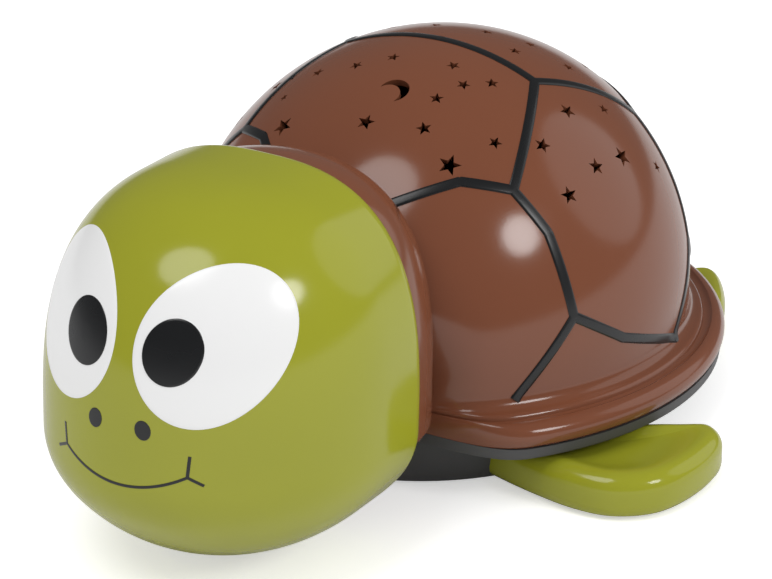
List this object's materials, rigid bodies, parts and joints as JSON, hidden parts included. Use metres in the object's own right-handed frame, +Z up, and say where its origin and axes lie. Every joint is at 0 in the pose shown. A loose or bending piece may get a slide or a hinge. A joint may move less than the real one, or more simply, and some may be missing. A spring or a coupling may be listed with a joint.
{
  "type": "turtle star projector night light",
  "caption": "Turtle-shaped night light with a pierced brown shell that throws stars, a round green head, paddle flippers and a battery base.",
  "frame": {"origin": "middle of the footprint on the table that the foot pads stand on", "axes": "+Z up, the head looks along -Y, the turtle's left side is +X"},
  "size_m": [0.2131, 0.2689, 0.1122],
  "materials": {
    "green_plastic": "gloss",
    "brown_plastic": "gloss",
    "black_plastic": "satin",
    "white_plastic": "gloss",
    "charcoal_plastic": "satin",
    "rubber": "matte",
    "steel": "satin",
    "spring_steel": "bright",
    "cell_jacket": "gloss",
    "board": "satin",
    "lamp_lens": "gloss",
    "button_plastic": "gloss"
  },
  "bodies": {
    "base": {"star_shell": "brown_plastic", "line_net": "black_plastic", "head_shell": "green_plastic", "eye_whites": "white_plastic", "eye_pupils": "black_plastic", "nostrils": "black_plastic", "smile_line": "black_plastic", "neck_plate": "charcoal_plastic", "neck_screws": "steel", "flipper_front_left": "green_plastic", "flipper_front_right": "green_plastic", "flipper_rear_left": "green_plastic", "flipper_rear_right": "green_plastic", "flipper_screws": "steel", "foot_pads": "rubber", "brim_screws": "steel", "base_housing": "charcoal_plastic", "battery_cells": "cell_jacket", "contact_springs": "spring_steel", "contact_plates": "spring_steel", "main_board": "board", "board_screws": "steel", "lamp_board": "board", "lamps": "lamp_lens", "board_chips": "black_plastic", "button_board": "board", "snap_switch": "black_plastic", "power_switch": "black_plastic"},
    "battery_door": {"battery_door": "charcoal_plastic"},
    "door_screw": {"door_screw": "steel"},
    "mode_button": {"mode_button": "button_plastic"},
    "switch_knob": {"switch_knob": "white_plastic"}
  },
  "joints": [
    {"name": "door_hinge", "type": "hinge", "parent": "base", "child": "battery_door", "pos_m": [0, 0.07359, 0.0022], "axis": [1, 0, 0], "range_deg": [0, 97]},
    {"name": "door_screw_turn", "type": "hinge", "parent": "battery_door", "child": "door_screw", "pos_m": [0, 0.00569, 0.002], "axis": [0, 0, 1], "continuous": true},
    {"name": "button_press", "type": "slide", "parent": "base", "child": "mode_button", "axis": [0, -0.0401, -0.9992], "range_m": [0, 0.0008], "stiffness_N_per_m": 800},
    {"name": "switch_slide", "type": "slide", "parent": "base", "child": "switch_knob", "axis": [1, 0, 0], "range_m": [0, 0.003]}
  ]
}
